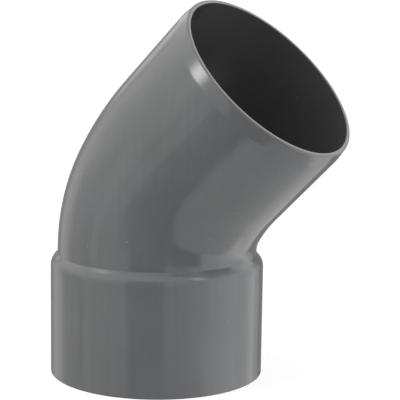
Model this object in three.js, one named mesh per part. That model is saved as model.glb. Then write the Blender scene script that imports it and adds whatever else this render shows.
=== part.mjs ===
// 45 degree PVC-U drain elbow, socket by spigot, nominal bore 100 mm, for solvent-cement joints.
//
// The real fitting is one injection moulding. It is drawn here as the four lengths that the moulding tool
// forms, which meet face to face: the socket with its pipe stop, the shoulder, the bend and the spigot.
// Frame: millimetres, +Z up along the socket's axis, the socket standing on its mouth at z = 0. The spigot
// leans towards +X, Y = 0 is the mirror plane, and the origin is the middle of the box's foot.

import * as THREE from "three";

// Driving dimensions, in millimetres and degrees.
const PIPE_OD = 100; // outside diameter of the pipe that the socket takes, and of the spigot
const BODY_WALL = 3; // wall of the bend and of the spigot
const SOCKET_OD = 107;
const SOCKET_DEPTH = 51; // from the mouth to the pipe stop
const SOCKET_FIT = 0.5; // how much wider than the pipe the socket is at its mouth
const SOCKET_TAPER = 0.5; // how much narrower the socket is at the pipe stop than at its mouth
const MOUTH_LEAD_IN = 1.2; // inner chamfer of the socket's mouth, along its axis
const MOUTH_LEAD_IN_DEPTH = 0.8; // the same chamfer, across the wall
const MOUTH_EDGE_ROUND = 0.5; // outer edge of the socket's mouth
const SOCKET_TOP = 53; // the socket ends here, above the pipe stop
const SHOULDER_TOP = 61.1; // where the shoulder's slope meets the bend's wall
const SHOULDER_SLOPE = 46; // how far that slope leans in from the axis
const SHOULDER_ROUND = 7; // radius of the round-over that leads to it
const STRAIGHT_BEFORE_BEND = 1.1; // from the shoulder's top to the start of the bend
const TIGHT_ANGLE = 30; // first part of the bend
const TIGHT_RADIUS = 59; // radius of its centreline
const EASY_ANGLE = 15; // second part of the bend, which eases into the spigot
const EASY_RADIUS = 117;
const SPIGOT_LENGTH = 52.6; // straight length, with its lead-in
const LEAD_IN_LENGTH = 6.8; // the chamfer that guides the spigot into the next socket
const LEAD_IN_DEPTH = 0.95;
const NOSE_ROUND = 0.7; // outer edge of the spigot's end face
const RIM_ROUND = 0.3; // inner edge of the spigot's end face

// How finely the round shapes are cut.
const SIDES = 72;
const TIGHT_STEPS = 10;
const EASY_STEPS = 5;
const SHOULDER_STEPS = 8;
const EDGE_STEPS = 3;

const bodyRadius = PIPE_OD / 2;
const boreRadius = bodyRadius - BODY_WALL;
const socketRadius = SOCKET_OD / 2;
const mouthBore = (PIPE_OD + SOCKET_FIT) / 2;
const rootBore = (PIPE_OD + SOCKET_FIT - SOCKET_TAPER) / 2;

const pvcGrey = { color: 0x656769, roughness: 0.15, metalness: 0 };

function pvc() {
  return new THREE.MeshStandardMaterial(pvcGrey);
}

// Points of a quarter ellipse from (r0, z0) to (r1, z1) that leaves its first point along the axis.
function quarterRound(r0, z0, r1, z1, steps) {
  const points = [];
  for (let step = 0; step <= steps; step += 1) {
    const angle = (step / steps) * (Math.PI / 2);
    const radius = r1 + (r0 - r1) * Math.cos(angle);
    const height = z0 + (z1 - z0) * Math.sin(angle);
    points.push(new THREE.Vector2(radius, height));
  }
  return points;
}

// A profile of radius and height, closed on itself and turned about the Z axis.
function turned(name, profile) {
  const geometry = new THREE.LatheGeometry([...profile, profile[0].clone()], SIDES);
  geometry.rotateX(Math.PI / 2);
  const mesh = new THREE.Mesh(geometry, pvc());
  mesh.name = name;
  return mesh;
}

// Socket: the tube that takes the pipe, with a rounded outer edge and an inner lead-in at its mouth, and
// the inner ledge at its root that stops the pipe.
function socket() {
  const edge = quarterRound(socketRadius, MOUTH_EDGE_ROUND, socketRadius - MOUTH_EDGE_ROUND, 0, EDGE_STEPS);
  const profile = [
    new THREE.Vector2(boreRadius, SOCKET_TOP),
    new THREE.Vector2(boreRadius, SOCKET_DEPTH),
    new THREE.Vector2(rootBore, SOCKET_DEPTH),
    new THREE.Vector2(mouthBore, MOUTH_LEAD_IN),
    new THREE.Vector2(mouthBore + MOUTH_LEAD_IN_DEPTH, 0),
    ...edge.reverse(),
    new THREE.Vector2(socketRadius, SOCKET_TOP),
  ];
  return turned("socket", profile);
}

// Shoulder: the thick neck above the pipe stop, whose outside rounds over and slopes in to the bend's wall.
function shoulder() {
  const slope = THREE.MathUtils.degToRad(SHOULDER_SLOPE);
  const slopeFoot = socketRadius - SHOULDER_ROUND * (1 - Math.cos(slope));
  const slopeHeight = (slopeFoot - bodyRadius) / Math.tan(slope);
  const curveStart = SHOULDER_TOP - slopeHeight - SHOULDER_ROUND * Math.sin(slope);
  const curve = [];
  for (let step = 0; step <= SHOULDER_STEPS; step += 1) {
    const angle = (step / SHOULDER_STEPS) * slope;
    const radius = socketRadius - SHOULDER_ROUND * (1 - Math.cos(angle));
    curve.push(new THREE.Vector2(radius, curveStart + SHOULDER_ROUND * Math.sin(angle)));
  }
  const profile = [
    new THREE.Vector2(boreRadius, SHOULDER_TOP),
    new THREE.Vector2(boreRadius, SOCKET_TOP),
    new THREE.Vector2(socketRadius, SOCKET_TOP),
    ...curve,
    new THREE.Vector2(bodyRadius, SHOULDER_TOP),
  ];
  return turned("shoulder", profile);
}

// Centreline of the bend: a short straight, a tight arc and an easy arc, all in the plane Y = 0.
class BendLine extends THREE.Curve {
  constructor() {
    super();
    this.tight = THREE.MathUtils.degToRad(TIGHT_ANGLE);
    this.easy = THREE.MathUtils.degToRad(EASY_ANGLE);
    this.tightLength = TIGHT_RADIUS * this.tight;
    this.easyLength = EASY_RADIUS * this.easy;
    this.length = STRAIGHT_BEFORE_BEND + this.tightLength + this.easyLength;
  }

  // Angle from the Z axis at a distance along the line.
  lean(distance) {
    const past = distance - STRAIGHT_BEFORE_BEND;
    if (past <= 0) return 0;
    if (past <= this.tightLength) return past / TIGHT_RADIUS;
    return this.tight + (past - this.tightLength) / EASY_RADIUS;
  }

  getPoint(t, target = new THREE.Vector3()) {
    const distance = t * this.length;
    const lean = this.lean(distance);
    const tightLean = Math.min(lean, this.tight);
    const foot = SHOULDER_TOP + Math.min(distance, STRAIGHT_BEFORE_BEND);
    let x = TIGHT_RADIUS * (1 - Math.cos(tightLean));
    let z = foot + TIGHT_RADIUS * Math.sin(tightLean);
    if (lean > this.tight) {
      x += EASY_RADIUS * (Math.cos(this.tight) - Math.cos(lean));
      z += EASY_RADIUS * (Math.sin(lean) - Math.sin(this.tight));
    }
    return target.set(x, 0, z);
  }

  getTangent(t, target = new THREE.Vector3()) {
    const lean = this.lean(t * this.length);
    return target.set(Math.sin(lean), 0, Math.cos(lean));
  }
}

// A circle of points that starts where a turned profile starts, so that both meet side by side.
function circle(radius) {
  const points = [];
  for (let side = 0; side < SIDES; side += 1) {
    const angle = (side / SIDES) * 2 * Math.PI;
    points.push(new THREE.Vector2(radius * Math.cos(angle), radius * Math.sin(angle)));
  }
  return points;
}

// Bend: a round tube swept along the centreline.
function bend(line) {
  const section = new THREE.Shape(circle(bodyRadius));
  section.holes.push(new THREE.Path(circle(boreRadius)));
  const steps = TIGHT_STEPS + EASY_STEPS;
  const geometry = new THREE.ExtrudeGeometry(section, { steps, extrudePath: line });
  const mesh = new THREE.Mesh(geometry, pvc());
  mesh.name = "bend";
  return mesh;
}

// Spigot: the straight plain end, in its own frame along +Z from the end of the bend. Its outside runs
// down a slight cone to a rounded nose.
function spigot() {
  const coneDrop = (LEAD_IN_DEPTH * (LEAD_IN_LENGTH - NOSE_ROUND)) / LEAD_IN_LENGTH;
  const noseRadius = bodyRadius - coneDrop;
  const noseStart = SPIGOT_LENGTH - NOSE_ROUND;
  const profile = [
    new THREE.Vector2(boreRadius, 0),
    new THREE.Vector2(bodyRadius, 0),
    new THREE.Vector2(bodyRadius, SPIGOT_LENGTH - LEAD_IN_LENGTH),
    ...quarterRound(noseRadius, noseStart, noseRadius - NOSE_ROUND, SPIGOT_LENGTH, EDGE_STEPS),
    new THREE.Vector2(boreRadius + RIM_ROUND, SPIGOT_LENGTH),
    new THREE.Vector2(boreRadius, SPIGOT_LENGTH - RIM_ROUND),
  ];
  return turned("spigot", profile);
}

const line = new BendLine();
const spigotPlace = new THREE.Group();
spigotPlace.position.copy(line.getPoint(1));
spigotPlace.rotation.y = line.lean(line.length);
spigotPlace.add(spigot());

const elbow = new THREE.Group();
elbow.name = "elbow";
elbow.add(socket(), shoulder(), bend(line), spigotPlace);

// The origin moves from the socket's axis to the middle of the whole fitting's length.
const extent = new THREE.Box3().setFromObject(elbow, true);
elbow.position.x = -(extent.min.x + extent.max.x) / 2;

export default elbow;
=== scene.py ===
from math import atan2, cos, pi, radians, sin, tan, tau

import bmesh
import bpy
from mathutils import Matrix, Quaternion, Vector


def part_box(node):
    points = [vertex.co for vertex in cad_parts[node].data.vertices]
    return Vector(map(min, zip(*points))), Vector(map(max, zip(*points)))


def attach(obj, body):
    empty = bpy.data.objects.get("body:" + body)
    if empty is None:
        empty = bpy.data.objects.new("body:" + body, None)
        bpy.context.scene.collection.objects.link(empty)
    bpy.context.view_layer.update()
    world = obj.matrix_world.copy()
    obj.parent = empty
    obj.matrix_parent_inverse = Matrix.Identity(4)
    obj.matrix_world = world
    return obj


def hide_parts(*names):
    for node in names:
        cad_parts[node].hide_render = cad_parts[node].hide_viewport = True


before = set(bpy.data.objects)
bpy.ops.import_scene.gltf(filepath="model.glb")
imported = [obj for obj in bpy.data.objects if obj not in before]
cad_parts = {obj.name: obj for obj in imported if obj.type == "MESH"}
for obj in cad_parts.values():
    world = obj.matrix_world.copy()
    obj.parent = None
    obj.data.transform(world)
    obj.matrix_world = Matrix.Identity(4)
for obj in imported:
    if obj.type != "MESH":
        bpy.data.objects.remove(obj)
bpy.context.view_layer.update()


# Camera: a long lens, a little above the fitting and to the right of its front, turned a shade so that
# the socket leans as it does when the fitting is held square to the table.
LENS = 132.4
CAMERA_ROLL = radians(0.81)
camera_place = Vector((0.3872, -0.6007, 0.2127))
camera_target = Vector((0.0029, -0.0001, 0.0900))

camera = bpy.data.objects.new("camera", bpy.data.cameras.new("camera"))
camera.data.lens = LENS
camera.data.sensor_width = 36
camera.location = camera_place
look = (camera_place - camera_target).to_track_quat("Z", "Y")
camera.rotation_mode = "QUATERNION"
camera.rotation_quaternion = look @ Quaternion((0, 0, 1), CAMERA_ROLL)
bpy.context.scene.collection.objects.link(camera)
bpy.context.scene.camera = camera
bpy.context.scene.view_settings.view_transform = "Standard"


# Studio: a pale room, painted from the back to the front. Each window of directions is given by its turn
# from the camera, to the right, and its height above the horizon, in degrees. The camera sees white.
def add_node(tree, kind, **settings):
    made = tree.nodes.new(kind)
    for name, value in settings.items():
        setattr(made, name, value)
    return made


def plug(tree, target, source):
    """Feeds a socket from another socket, or sets it to a plain value."""
    if isinstance(source, bpy.types.NodeSocket):
        tree.links.new(source, target)
    else:
        target.default_value = source


def maths(tree, operation, *inputs):
    made = add_node(tree, "ShaderNodeMath", operation=operation)
    for socket, source in zip(made.inputs, inputs):
        plug(tree, socket, source)
    return made.outputs[0]


def ramp(tree, value, low, high, to_low=0.0, to_high=1.0):
    """Eases from to_low to to_high while value goes from low to high."""
    made = add_node(tree, "ShaderNodeMapRange", interpolation_type="SMOOTHSTEP")
    for socket, source in zip(made.inputs, (value, low, high, to_low, to_high)):
        plug(tree, socket, source)
    return made.outputs["Result"]


def parts_of(tree, vector):
    """The three parts of a vector, each as a socket."""
    split = add_node(tree, "ShaderNodeSeparateXYZ")
    plug(tree, split.inputs[0], vector)
    return split.outputs


world = bpy.data.worlds.new("studio")
world.use_nodes = True
bpy.context.scene.world = world
sky = world.node_tree
sky.nodes.clear()

towards = camera_place - camera_target
direction = add_node(sky, "ShaderNodeTexCoord").outputs["Generated"]
turned_sky = add_node(sky, "ShaderNodeVectorRotate", rotation_type="Z_AXIS")
plug(sky, turned_sky.inputs["Vector"], direction)
plug(sky, turned_sky.inputs["Angle"], -atan2(towards.y, towards.x))
forward, rightward, upward = parts_of(sky, turned_sky.outputs[0])
turn = maths(sky, "DEGREES", maths(sky, "ARCTAN2", rightward, forward))
height = maths(sky, "DEGREES", maths(sky, "ARCSINE", upward))


BACK_WALL = 0.3


def painted(room, brightness, turns=None, heights=None, edge=1.0):
    """Paints a window of directions over the room. A limit beyond the sphere leaves that side open."""
    mask = None
    for angle, limits in ((turn, turns), (height, heights)):
        if limits is None:
            continue
        for limit, before, after in ((limits[0], 0.0, 1.0), (limits[1], 1.0, 0.0)):
            if abs(limit) >= 180:
                continue
            side = ramp(sky, angle, limit - edge, limit + edge, before, after)
            mask = side if mask is None else maths(sky, "MULTIPLY", mask, side)
    change = maths(sky, "SUBTRACT", brightness, room)
    return maths(sky, "MULTIPLY_ADD", change, mask, room)


# Left and behind: a pale wall, a screen with dark gaps beside it, and the ceiling over them.
room = painted(BACK_WALL, 0.85, turns=(-148, -30), heights=(-22, 180), edge=1.5)
room = painted(room, 1.2, turns=(-180, -148), heights=(9, 180), edge=4)
room = painted(room, 0.6, turns=(-149, -141), heights=(-22, 20))
room = painted(room, 0.5, turns=(-120, -88), heights=(-22, 6), edge=4)
room = painted(room, 1.15, turns=(-148, -30), heights=(20, 180), edge=6)
room = painted(room, 0.4, turns=(-88, -82), heights=(-22, -2), edge=1.5)
room = painted(room, 0.5, turns=(-69.5, -67), heights=(-22, 0), edge=0.8)

# Right: a wall that brightens towards its far end, with a bright strip there, and the ceiling.
right_wall = ramp(sky, turn, 8, 85, 0.7, 1.7)
room = painted(room, right_wall, turns=(10, 133), heights=(-90, 180))
room = painted(room, 0.98, turns=(10, 52), heights=(-4, 30), edge=5)
room = painted(room, 0.75, turns=(133, 145), heights=(-36, 40))
room = painted(room, 1.45, turns=(120, 132), heights=(-22, 12), edge=0.6)
room = painted(room, 1.3, turns=(98, 120), heights=(-22, 12), edge=0.6)
room = painted(room, 1.15, turns=(-80, 48), heights=(34, 90), edge=6)
room = painted(room, 0.7, turns=(64, 115), heights=(30, 70), edge=3)
room = painted(room, 0.85, heights=(66, 180), edge=8)

# Front: the dark opening that the camera looks in from, and the dark floor before it.
room = painted(room, 0.22, turns=(-31, 9), heights=(-180, 29), edge=1.5)
room = painted(room, 0.35, turns=(-180, -30), heights=(-180, -22), edge=4)
room = painted(room, 0.28, turns=(-60, 53), heights=(-180, -18), edge=1.5)

# Below and behind: the lit table, and a pale card that catches the underside and the end face.
table = ramp(sky, turn, 140, 180, 1.05, 0.6)
room = painted(room, table, turns=(-45, 180), heights=(-180, -50), edge=1.5)
room = painted(room, 1.2, turns=(132, 150), heights=(-180, -30), edge=2)
room = painted(room, 1.15, turns=(150, 180), heights=(-180, -30), edge=2)
room = painted(room, 1.7, turns=(124, 156), heights=(20, 50), edge=4)

# Two softboxes, on the right in front and high on the left.
room = painted(room, 3.0, turns=(46, 60), heights=(26, 46))
room = painted(room, 2.4, turns=(-120, -88), heights=(50, 68), edge=3)

# The left side is a shade warmer.
EVEN_LIGHT = (1.0, 1.0, 1.0, 1)
WARM_LIGHT = (1.01, 1.0, 0.975, 1)
warmth = add_node(sky, "ShaderNodeMix", data_type="RGBA")
plug(sky, warmth.inputs["Factor"], ramp(sky, turn, -70, -30, 1.0, 0.0))
plug(sky, warmth.inputs["A"], EVEN_LIGHT)
plug(sky, warmth.inputs["B"], WARM_LIGHT)
seen = add_node(sky, "ShaderNodeLightPath").outputs["Is Camera Ray"]
background = add_node(sky, "ShaderNodeBackground")
plug(sky, background.inputs["Color"], warmth.outputs["Result"])
plug(sky, background.inputs["Strength"], maths(sky, "MAXIMUM", seen, room))
plug(sky, add_node(sky, "ShaderNodeOutputWorld").inputs["Surface"], background.outputs[0])


# Floor: a plain pale sheet, which takes only a faint shadow from the fitting.
FLOOR_SIZE = 12.0
FLOOR_WHITE = 0.2
FLOOR_GLOW = 0.84
sheet = bmesh.new()
bmesh.ops.create_grid(sheet, x_segments=1, y_segments=1, size=FLOOR_SIZE)
floor_mesh = bpy.data.meshes.new("floor")
sheet.to_mesh(floor_mesh)
sheet.free()
floor = bpy.data.objects.new("floor", floor_mesh)
bpy.context.scene.collection.objects.link(floor)
pale = bpy.data.materials.new("pale_sheet")
pale.use_nodes = True
sheet_shader = pale.node_tree.nodes["Principled BSDF"]
sheet_shader.inputs["Base Color"].default_value = (FLOOR_WHITE, FLOOR_WHITE, FLOOR_WHITE, 1)
sheet_shader.inputs["Roughness"].default_value = 0.9
sheet_shader.inputs["Specular IOR Level"].default_value = 0.0
sheet_shader.inputs["Emission Color"].default_value = (1, 1, 1, 1)
sheet_shader.inputs["Emission Strength"].default_value = FLOOR_GLOW
floor_mesh.materials.append(pale)
floor.visible_glossy = False
floor.visible_diffuse = False


# Socket: the wide end, moulded from grey PVC-U against a polished steel tool. A pipe is cemented into it,
# so its bore tapers a little down to the ledge that stops the pipe, and its mouth has a lead-in.
WALL = 0.003
PIPE_RADIUS = 0.050
MOUTH_BORE = 0.05025
ROOT_BORE = 0.050
STOP_HEIGHT = 0.051
LEAD_IN_HEIGHT = 0.0012
LEAD_IN_DEPTH = 0.0008
MOUTH_ROUND = 0.0005
LEDGE_ROUND = 0.0003
HELD_MARGIN = 0.0002
ROUND_STEPS = 4
AROUND = 256
EASED_ANGLE = radians(32)

socket_low, socket_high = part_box("socket")
socket_radius = (socket_high.x - socket_low.x) / 2
axis = Vector(((socket_high.x + socket_low.x) / 2, 0, 0))
bore_radius = PIPE_RADIUS - WALL


def turned(outline):
    """A closed outline of radius and height, turned round the socket's own axis."""
    mesh = bmesh.new()
    corners = [mesh.verts.new((radius, 0, level)) for radius, level in outline]
    sides = [mesh.edges.new(pair) for pair in zip(corners, corners[1:] + corners[:1])]
    bmesh.ops.spin(mesh, geom=corners + sides, cent=(0, 0, 0), axis=(0, 0, 1), angle=tau, steps=AROUND,
                   use_merge=True)
    bmesh.ops.remove_doubles(mesh, verts=mesh.verts, dist=1e-6)
    bmesh.ops.recalc_face_normals(mesh, faces=mesh.faces)
    return mesh


def rounded(mesh, radius, level, width):
    """Rounds the ring of edges at one radius and height."""
    def on_ring(corner):
        place = corner.co
        return abs(place.xy.length - radius) < 1e-5 and abs(place.z - level) < 1e-5
    ring = [edge for edge in mesh.edges if all(on_ring(corner) for corner in edge.verts)]
    bmesh.ops.bevel(mesh, geom=ring, offset=width, segments=ROUND_STEPS, affect="EDGES", profile=0.5,
                    material=-1, clamp_overlap=True)


def held_flat(mesh, level):
    """Cuts the mesh level, so that a rounded edge doesn't shade the wall beyond it."""
    bmesh.ops.bisect_plane(mesh, geom=mesh.verts[:] + mesh.edges[:] + mesh.faces[:], dist=1e-6,
                           plane_co=(0, 0, level), plane_no=(0, 0, 1))


def paint_bore_shade(mesh):
    """Gives the wall of the bore the second material: its darker colour is painted shade inside the tube,
    and it is a little duller.
    """
    for face in mesh.faces:
        if all(corner.co.xy.length < bore_radius + 1e-5 for corner in face.verts):
            face.material_index = BORE


def moulded(name, mesh, node):
    """Makes the finished piece: smooth, with crisp edges, in the grey PVC, and standing for its CAD node."""
    for face in mesh.faces:
        face.smooth = True
    for edge in mesh.edges:
        edge.smooth = edge.calc_face_angle(0) < EASED_ANGLE
    data = bpy.data.meshes.new(name)
    mesh.to_mesh(data)
    mesh.free()
    data.materials.append(grey_pvc)
    data.materials.append(grey_pvc_bore_shade)
    piece = bpy.data.objects.new(name, data)
    bpy.context.scene.collection.objects.link(piece)
    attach(piece, "root")
    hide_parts(node)
    return piece


CLOUD_SPAN = (0.3, 0.7)
GRAIN_SIZE = 0.0006
GRAIN_DEPTH = 0.003
NICK_DEPTH = 0.06
NICK_PATCH = 0.02
NICK_EDGE = (0.03, 0.07)
NICK_CHOICE = (0.44, 0.58)
STREAK_WIDTH = 0.0018
STREAK_STRETCH = 0.04
STREAK_SHARE = 0.35


def moulding_marks():
    """What the tool and handling leave: cloudy pigment, drawn streaks, slow waves, fine grain and nicks."""
    group = bpy.data.node_groups.new("moulding_marks", "ShaderNodeTree")
    for name, given_size in (("Cloud size", 0.05), ("Wave size", 0.03), ("Nick spacing", 0.007)):
        made = group.interface.new_socket(name, in_out="INPUT", socket_type="NodeSocketFloat")
        made.default_value = given_size
    for name in ("Cloud", "Nicks", "Height"):
        group.interface.new_socket(name, in_out="OUTPUT", socket_type="NodeSocketFloat")
    given = add_node(group, "NodeGroupInput")
    place = add_node(group, "ShaderNodeTexCoord").outputs["Object"]

    def clouds(size, detail, rough=0.5, where=place):
        noise = add_node(group, "ShaderNodeTexNoise")
        plug(group, noise.inputs["Vector"], where)
        plug(group, noise.inputs["Scale"], maths(group, "DIVIDE", 1.0, size))
        plug(group, noise.inputs["Detail"], detail)
        plug(group, noise.inputs["Roughness"], rough)
        return noise.outputs[0]

    cloud = clouds(given.outputs["Cloud size"], 4.0)
    wave = clouds(given.outputs["Wave size"], 1.0)
    grain = clouds(GRAIN_SIZE, 2.0)
    drawn = add_node(group, "ShaderNodeMapping")
    plug(group, drawn.inputs["Vector"], place)
    plug(group, drawn.inputs["Scale"], (1.0, 1.0, STREAK_STRETCH))
    streaks = clouds(STREAK_WIDTH, 2.0, where=drawn.outputs[0])
    cloud = maths(group, "MULTIPLY_ADD", maths(group, "SUBTRACT", streaks, 0.5), STREAK_SHARE, cloud)
    cells = add_node(group, "ShaderNodeTexVoronoi", feature="F1")
    plug(group, cells.inputs["Vector"], place)
    plug(group, cells.inputs["Scale"], maths(group, "DIVIDE", 1.0, given.outputs["Nick spacing"]))
    dot = ramp(group, cells.outputs["Distance"], *NICK_EDGE, 1.0, 0.0)
    chosen = ramp(group, clouds(NICK_PATCH, 3.0), *NICK_CHOICE)
    nicks = maths(group, "MULTIPLY", dot, chosen)
    tall = maths(group, "MULTIPLY_ADD", grain, GRAIN_DEPTH, wave)
    tall = maths(group, "SUBTRACT", tall, maths(group, "MULTIPLY", nicks, NICK_DEPTH))
    result = add_node(group, "NodeGroupOutput")
    plug(group, result.inputs["Cloud"], cloud)
    plug(group, result.inputs["Nicks"], nicks)
    plug(group, result.inputs["Height"], tall)
    return group


PVC_DARK = (0.116, 0.119, 0.123, 1)
PVC_LIGHT = (0.132, 0.135, 0.140, 1)
# The bore's colours are darker only as painted shade, standing in for the shade inside the tube.
BORE_SHADE_DARK = (0.070, 0.070, 0.071, 1)
BORE_SHADE_LIGHT = (0.078, 0.078, 0.079, 1)
NICK_TINT = (0.30, 0.31, 0.31, 1)
PVC_IOR = 1.53
NICK_TINTING = 0.4
POLISH = 0.13
BORE_POLISH = 0.2
POLISH_SPREAD = 0.04
NICK_DULLING = 0.25
WAVE_HEIGHT = 0.0004
BORE = 1  # the second material of every piece; the first is the outside
marks_group = moulding_marks()


def pvc_finish(name, dark, light, polish):
    """Grey PVC-U as the tool leaves it: faintly clouded pigment, a glossy skin and a few pale nicks."""
    finish = bpy.data.materials.new(name)
    finish.use_nodes = True
    tree = finish.node_tree
    plastic = tree.nodes["Principled BSDF"]
    plastic.inputs["IOR"].default_value = PVC_IOR
    marks = add_node(tree, "ShaderNodeGroup", node_tree=marks_group)
    cloud = marks.outputs["Cloud"]
    tone = add_node(tree, "ShaderNodeMix", data_type="RGBA")
    plug(tree, tone.inputs["Factor"], ramp(tree, cloud, *CLOUD_SPAN))
    plug(tree, tone.inputs["A"], dark)
    plug(tree, tone.inputs["B"], light)
    nicked = add_node(tree, "ShaderNodeMix", data_type="RGBA")
    plug(tree, nicked.inputs["Factor"], maths(tree, "MULTIPLY", marks.outputs["Nicks"], NICK_TINTING))
    plug(tree, nicked.inputs["A"], tone.outputs["Result"])
    plug(tree, nicked.inputs["B"], NICK_TINT)
    plug(tree, plastic.inputs["Base Color"], nicked.outputs["Result"])
    dulled = maths(tree, "MULTIPLY", marks.outputs["Nicks"], NICK_DULLING)
    dulled = maths(tree, "ADD", dulled, ramp(tree, cloud, *CLOUD_SPAN, polish, polish + POLISH_SPREAD))
    plug(tree, plastic.inputs["Roughness"], dulled)
    relief = add_node(tree, "ShaderNodeBump")
    relief.inputs["Distance"].default_value = WAVE_HEIGHT
    plug(tree, relief.inputs["Height"], marks.outputs["Height"])
    plug(tree, plastic.inputs["Normal"], relief.outputs[0])
    return finish


grey_pvc = pvc_finish("grey_pvc", PVC_DARK, PVC_LIGHT, POLISH)
# The bore's copy of the PVC: its darker colours are painted shade inside the tube, and its skin is a little
# duller.
grey_pvc_bore_shade = pvc_finish("grey_pvc_bore_shade", BORE_SHADE_DARK, BORE_SHADE_LIGHT, BORE_POLISH)

socket = turned([
    (bore_radius, socket_high.z),
    (bore_radius, STOP_HEIGHT),
    (ROOT_BORE, STOP_HEIGHT),
    (MOUTH_BORE, LEAD_IN_HEIGHT),
    (MOUTH_BORE + LEAD_IN_DEPTH, 0),
    (socket_radius, 0),
    (socket_radius, socket_high.z),
])
rounded(socket, socket_radius, 0, MOUTH_ROUND)
rounded(socket, bore_radius, STOP_HEIGHT, LEDGE_ROUND)
held_flat(socket, MOUTH_ROUND + HELD_MARGIN)
held_flat(socket, STOP_HEIGHT - HELD_MARGIN)
paint_bore_shade(socket)
bmesh.ops.translate(socket, verts=socket.verts, vec=axis)
moulded("moulded_socket", socket, "socket")


# Shoulder: the neck above the pipe stop, part of the same moulding. Its outside rounds over and runs in
# on a slope of 46 degrees to the bend's wall, where it ends in a tight inner corner.
SLOPE = radians(46)
SHOULDER_ROUND = 0.007
CREASE_ROUND = 0.0004
ROUND_OVER_STEPS = 20
CREASE_STEPS = 5

shoulder_low, shoulder_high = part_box("shoulder")
slope_foot_radius = socket_radius - SHOULDER_ROUND * (1 - cos(SLOPE))
slope_height = (slope_foot_radius - PIPE_RADIUS) / tan(SLOPE)
round_centre = Vector((socket_radius - SHOULDER_ROUND,
                       shoulder_high.z - slope_height - SHOULDER_ROUND * sin(SLOPE)))
crease_lift = CREASE_ROUND * tan(SLOPE / 2)
crease_centre = Vector((PIPE_RADIUS + CREASE_ROUND, shoulder_high.z + crease_lift))


def arc(centre, radius, start, end, steps):
    """Points of a round stretch of an outline, from one angle to another."""
    for step in range(steps + 1):
        angle = start + (end - start) * step / steps
        yield centre.x + radius * cos(angle), centre.y + radius * sin(angle)


shoulder = turned([
    (bore_radius, crease_centre.y),
    (bore_radius, shoulder_low.z),
    (socket_radius, shoulder_low.z),
    *arc(round_centre, SHOULDER_ROUND, 0, SLOPE, ROUND_OVER_STEPS),
    *arc(crease_centre, CREASE_ROUND, pi + SLOPE, pi, CREASE_STEPS),
])
paint_bore_shade(shoulder)
bmesh.ops.translate(shoulder, verts=shoulder.verts, vec=axis)
moulded("moulded_shoulder", shoulder, "shoulder")


# Bend: a plain tube of even wall that turns 45 degrees, most of it on a tight radius and the rest on an
# easy one that runs into the spigot. It leaves the shoulder straight for a moment.
TIGHT_TURN = radians(30)
TIGHT_RADIUS = 0.059
EASY_TURN = radians(15)
EASY_RADIUS = 0.117
STRAIGHT_LENGTH = 0.0011
TIGHT_STEPS = 45
EASY_STEPS = 22

bend_foot = axis + Vector((0, 0, crease_centre.y))
bend_start = axis + Vector((0, 0, shoulder_high.z + STRAIGHT_LENGTH))
tight_centre = bend_start + Vector((TIGHT_RADIUS, 0, 0))
tight_turn = Matrix.Rotation(TIGHT_TURN, 4, "Y")
tight_end = tight_centre + tight_turn @ (bend_start - tight_centre)
easy_centre = tight_end + (tight_centre - tight_end) * EASY_RADIUS / TIGHT_RADIUS
easy_turn = Matrix.Rotation(EASY_TURN, 4, "Y")
bend_end = easy_centre + easy_turn @ (tight_end - easy_centre)

bend = bmesh.new()
in_bore = bend.verts.layers.int.new("in_bore")
for radius in (PIPE_RADIUS, bore_radius):
    circle = bmesh.ops.create_circle(bend, segments=AROUND, radius=radius,
                                     matrix=Matrix.Translation(bend_foot))
    for corner in circle["verts"]:
        corner[in_bore] = radius == bore_radius
ring = bmesh.ops.bridge_loops(bend, edges=bend.edges)["faces"]
risen = bmesh.ops.extrude_face_region(bend, geom=ring)["geom"]
bmesh.ops.translate(bend, verts=[part for part in risen if isinstance(part, bmesh.types.BMVert)],
                    vec=bend_start - bend_foot)
leading = bmesh.ops.spin(bend, geom=risen, cent=tight_centre, axis=(0, 1, 0), angle=TIGHT_TURN,
                         steps=TIGHT_STEPS)["geom_last"]
bmesh.ops.spin(bend, geom=leading, cent=easy_centre, axis=(0, 1, 0), angle=EASY_TURN, steps=EASY_STEPS)
bmesh.ops.recalc_face_normals(bend, faces=bend.faces)
# The bend's bore faces take the second material, whose darker colour is painted shade inside the tube.
for face in bend.faces:
    if all(corner[in_bore] for corner in face.verts):
        face.material_index = BORE
bend_piece = moulded("moulded_bend", bend, "bend")


# Spigot: the straight plain end, the size of the pipe, which is cemented into the next fitting's socket.
# Its outside runs down a slight cone to a rounded nose, and the bore's corner is barely broken.
SPIGOT_LENGTH = 0.0526
NOSE_LENGTH = 0.0068
NOSE_DEPTH = 0.00095
NOSE_ROUND = 0.0007
RIM_ROUND = 0.0003
NOSE_BREAK = 0.0006
BREAK_MARGIN = 0.0008
NOSE_MARGIN = 0.0003

spigot = turned([
    (bore_radius, 0),
    (PIPE_RADIUS, 0),
    (PIPE_RADIUS, SPIGOT_LENGTH - NOSE_LENGTH),
    (PIPE_RADIUS - NOSE_DEPTH, SPIGOT_LENGTH),
    (bore_radius, SPIGOT_LENGTH),
])
rounded(spigot, bore_radius, SPIGOT_LENGTH, RIM_ROUND)
rounded(spigot, PIPE_RADIUS - NOSE_DEPTH, SPIGOT_LENGTH, NOSE_ROUND)
rounded(spigot, PIPE_RADIUS, SPIGOT_LENGTH - NOSE_LENGTH, NOSE_BREAK)
held_flat(spigot, SPIGOT_LENGTH - NOSE_LENGTH - BREAK_MARGIN)
held_flat(spigot, SPIGOT_LENGTH - NOSE_LENGTH + BREAK_MARGIN)
held_flat(spigot, SPIGOT_LENGTH - NOSE_ROUND - NOSE_MARGIN)
paint_bore_shade(spigot)
bmesh.ops.transform(spigot, matrix=Matrix.Rotation(TIGHT_TURN + EASY_TURN, 4, "Y"), verts=spigot.verts)
bmesh.ops.translate(spigot, verts=spigot.verts, vec=bend_end)
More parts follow.
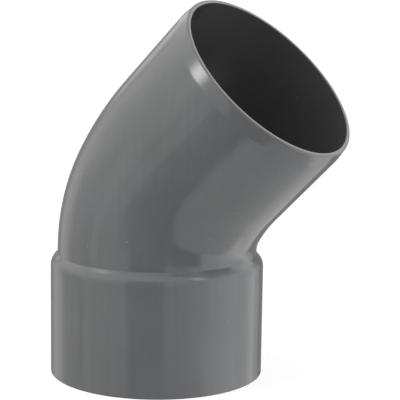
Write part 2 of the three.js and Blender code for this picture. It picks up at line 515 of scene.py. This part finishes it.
spigot_piece = moulded("moulded_spigot", spigot, "spigot")


# Key: a softbox on the left. Its soft light falls on the whole fitting, and its gloss only on the bend and
# the spigot, whose nose takes the one bright highlight. Its cloth is brightest in the middle.
KEY_TURN = radians(-65.5)
KEY_HEIGHT = radians(21)
GLOSS_DISTANCE = 1.0
SOFT_DISTANCE = 1.08
KEY_WIDTH = 0.54
KEY_TALL = 0.47
SOFT_POWER = 5.4
GLOSS_POWER = 7.5
CLOTH_EDGE = 0.45
key_heading = atan2(towards.y, towards.x) + KEY_TURN
key_way = Vector((cos(KEY_HEIGHT) * cos(key_heading), cos(KEY_HEIGHT) * sin(key_heading), sin(KEY_HEIGHT)))


def softbox(name, power, distance):
    """A rectangle of light at the key's place, turned to the fitting and hidden from the camera."""
    lamp = bpy.data.lights.new(name, "AREA")
    lamp.shape = "RECTANGLE"
    lamp.size = KEY_WIDTH
    lamp.size_y = KEY_TALL
    lamp.energy = power
    box = bpy.data.objects.new(name, lamp)
    box.location = bend_end + key_way * distance
    box.rotation_mode = "QUATERNION"
    box.rotation_quaternion = key_way.to_track_quat("Z", "Y")
    box.visible_camera = False
    bpy.context.scene.collection.objects.link(box)
    return box


key_soft = softbox("key_soft", SOFT_POWER, SOFT_DISTANCE)
key_soft.visible_glossy = False
key_gloss = softbox("key_gloss", GLOSS_POWER, GLOSS_DISTANCE)
key_gloss.visible_diffuse = False
key_gloss.data.use_nodes = True
cloth = key_gloss.data.node_tree
glow = 1.0
for across in parts_of(cloth, add_node(cloth, "ShaderNodeNewGeometry").outputs["Parametric"])[:2]:
    from_middle = maths(cloth, "ABSOLUTE", maths(cloth, "SUBTRACT", across, 0.5))
    glow = maths(cloth, "MULTIPLY", glow, ramp(cloth, from_middle, 0.5, 0.5 - CLOTH_EDGE))
plug(cloth, cloth.nodes["Emission"].inputs["Strength"], glow)
glossed = bpy.data.collections.new("glossed_by_key")
glossed.objects.link(spigot_piece)
glossed.objects.link(bend_piece)
key_gloss.light_linking.receiver_collection = glossed
